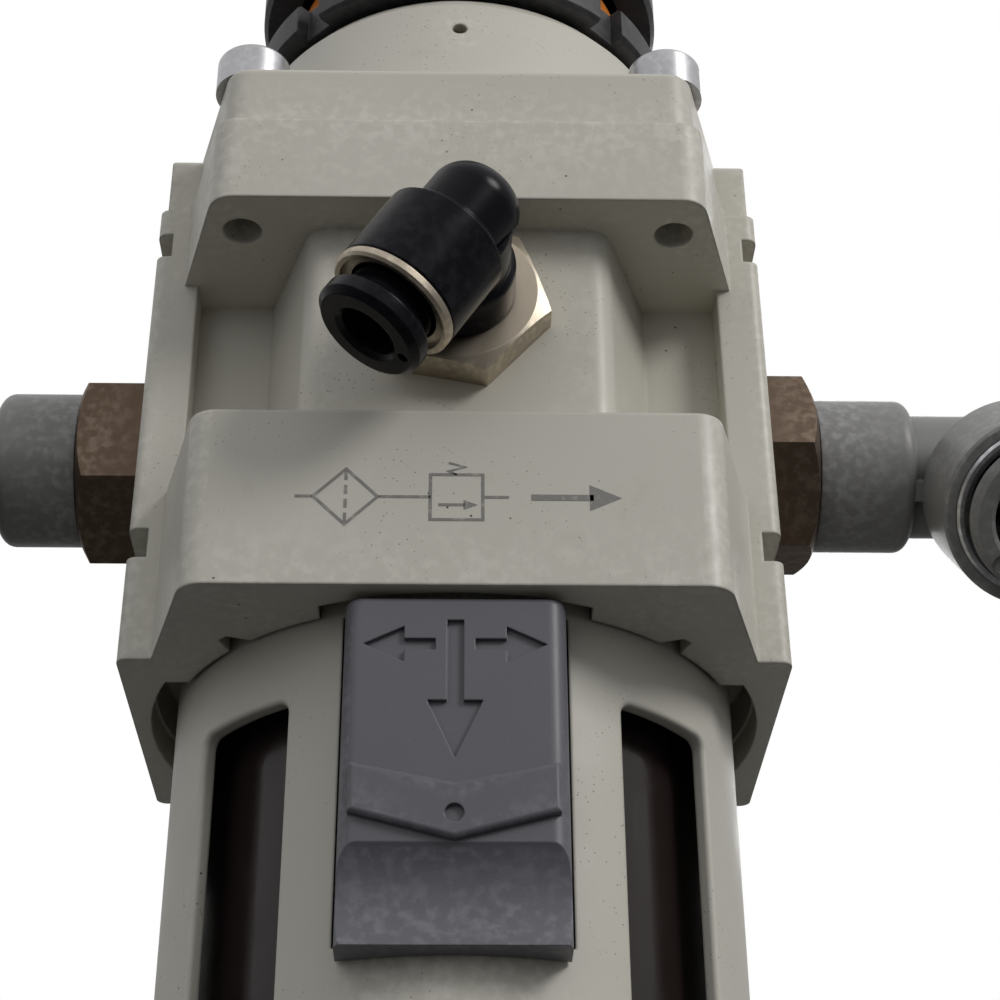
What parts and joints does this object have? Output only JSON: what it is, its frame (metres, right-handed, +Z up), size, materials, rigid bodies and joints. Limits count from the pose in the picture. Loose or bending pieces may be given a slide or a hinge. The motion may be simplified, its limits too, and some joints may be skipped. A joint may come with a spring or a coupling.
{
  "type": "filter regulator",
  "caption": "Compressed-air filter regulator with a locking pressure knob, a guarded bayonet bowl with a lock button and drain, and swivel push-in elbows at its ports.",
  "frame": {"origin": "centre of the line through the two main ports", "axes": "+X from the inlet port to the outlet port, -Y the front with the lock button, +Z up towards the knob"},
  "size_m": [0.1518, 0.0859, 0.262],
  "materials": {
    "ivory_paint": "fine-grained satin paint on die casting",
    "grey_plastic": "satin",
    "dark_plastic": "satin",
    "cap_plastic": "satin",
    "orange_plastic": "satin",
    "fitting_grey": "satin",
    "fitting_black": "gloss",
    "nickel": "nickel plate",
    "bronze": "dull",
    "brass": "turned",
    "steel": "bright zinc",
    "rubber": "matt",
    "clear_bowl": "smoky polycarbonate",
    "filter_media": "sintered resin"
  },
  "bodies": {
    "housing": {"body": "ivory_paint", "bonnet": "ivory_paint", "bonnet_screws": "steel", "panel_nut": "dark_plastic", "thrust_washer": "steel", "unlocked_marker_ring": "orange_plastic", "diaphragm": "rubber", "valve_guide": "dark_plastic", "valve_guide_o_ring": "rubber", "swirl_deflector": "dark_plastic", "filter_element": "filter_media", "element_retainer": "dark_plastic", "rear_gauge_plug": "steel", "inlet_stud": "bronze", "outlet_stud": "bronze", "front_stud": "nickel"},
    "adjuster": {"adjusting_screw": "steel"},
    "knob": {"knob": "dark_plastic", "knob_cap": "cap_plastic"},
    "spring_seat": {"spring_seat_nut": "dark_plastic"},
    "diaphragm_stack": {"upper_diaphragm_plate": "steel", "lower_diaphragm_plate": "steel", "regulating_spring": "steel"},
    "valve": {"valve_stem": "brass", "valve_poppet": "brass", "valve_seal": "rubber", "valve_spring": "steel"},
    "bowl_assembly": {"bowl_guard": "ivory_paint", "bowl": "clear_bowl", "bowl_o_ring": "rubber", "lock_button_springs": "steel", "drain_body": "dark_plastic"},
    "lock_button": {"lock_button": "grey_plastic"},
    "drain": {"drain_cock": "dark_plastic", "drain_o_ring": "rubber"},
    "inlet_elbow": {"inlet_elbow": "fitting_grey", "inlet_guide_ring": "steel", "inlet_tube_seal": "rubber", "inlet_grip_ring": "steel"},
    "inlet_collar": {"inlet_release_collar": "fitting_grey"},
    "outlet_elbow": {"outlet_elbow": "fitting_grey", "outlet_guide_ring": "steel", "outlet_tube_seal": "rubber", "outlet_grip_ring": "steel"},
    "outlet_collar": {"outlet_release_collar": "fitting_grey"},
    "front_elbow": {"front_elbow": "fitting_black", "front_guide_ring": "nickel", "front_tube_seal": "rubber", "front_grip_ring": "steel"},
    "front_collar": {"front_release_collar": "fitting_black"}
  },
  "joints": [
    {"name": "knob_turn", "type": "hinge", "parent": "housing", "child": "adjuster", "pos_m": [0, 0, 0.065], "axis": [0, 0, 1], "range_deg": [-2160, 0]},
    {"name": "knob_lock", "type": "slide", "parent": "adjuster", "child": "knob", "axis": [0, 0, 1], "range_m": [-0.0035, 0]},
    {"name": "spring_seat_travel", "type": "slide", "parent": "housing", "child": "spring_seat", "axis": [0, 0, 1], "range_m": [-0.0091, 0.0001], "deforming": ["regulating_spring"]},
    {"name": "diaphragm_travel", "type": "slide", "parent": "housing", "child": "diaphragm_stack", "axis": [0, 0, 1], "range_m": [-0.0015, 0], "stiffness_N_per_m": 2000, "springref_m": 0.0002, "deforming": ["diaphragm"]},
    {"name": "valve_travel", "type": "slide", "parent": "housing", "child": "valve", "axis": [0, 0, 1], "range_m": [-0.0016, 0.0001], "deforming": ["valve_spring"]},
    {"name": "bowl_turn", "type": "hinge", "parent": "housing", "child": "bowl_assembly", "pos_m": [0, 0, -0.0345], "axis": [0, 0, 1], "range_deg": [-45, 45]},
    {"name": "lock_button_press", "type": "slide", "parent": "bowl_assembly", "child": "lock_button", "axis": [0, 0, -1], "range_m": [0, 0.004], "stiffness_N_per_m": 900, "springref_m": -0.002, "deforming": ["lock_button_springs"]},
    {"name": "drain_turn", "type": "hinge", "parent": "bowl_assembly", "child": "drain", "pos_m": [0, 0, -0.14], "axis": [0, 0, 1], "range_deg": [-90, 0]},
    {"name": "inlet_swivel", "type": "hinge", "parent": "housing", "child": "inlet_elbow", "pos_m": [-0.065, 0, 0], "axis": [-1, 0, 0], "continuous": true},
    {"name": "inlet_collar_press", "type": "slide", "parent": "inlet_elbow", "child": "inlet_collar", "axis": [0, 0.7314, 0.682], "range_m": [0, 0.0012], "stiffness_N_per_m": 600, "springref_m": -0.0008},
    {"name": "outlet_swivel", "type": "hinge", "parent": "housing", "child": "outlet_elbow", "pos_m": [0.065, 0, 0], "axis": [1, 0, 0], "continuous": true},
    {"name": "outlet_collar_press", "type": "slide", "parent": "outlet_elbow", "child": "outlet_collar", "axis": [0, 0.7314, 0.682], "range_m": [0, 0.0012], "stiffness_N_per_m": 600, "springref_m": -0.0008},
    {"name": "front_swivel", "type": "hinge", "parent": "housing", "child": "front_elbow", "pos_m": [-0.0002, -0.044, 0.0023], "axis": [0, -1, 0], "continuous": true},
    {"name": "front_collar_press", "type": "slide", "parent": "front_elbow", "child": "front_collar", "axis": [0.5446, 0, 0.8387], "range_m": [0, 0.0012], "stiffness_N_per_m": 600, "springref_m": -0.0008}
  ],
  "couplings": [
    {"joint": "spring_seat_travel", "follows": "knob_turn", "m_per_rad": 0.00023873},
    {"joint": "valve_travel", "follows": "diaphragm_travel", "ratio": 1}
  ]
}
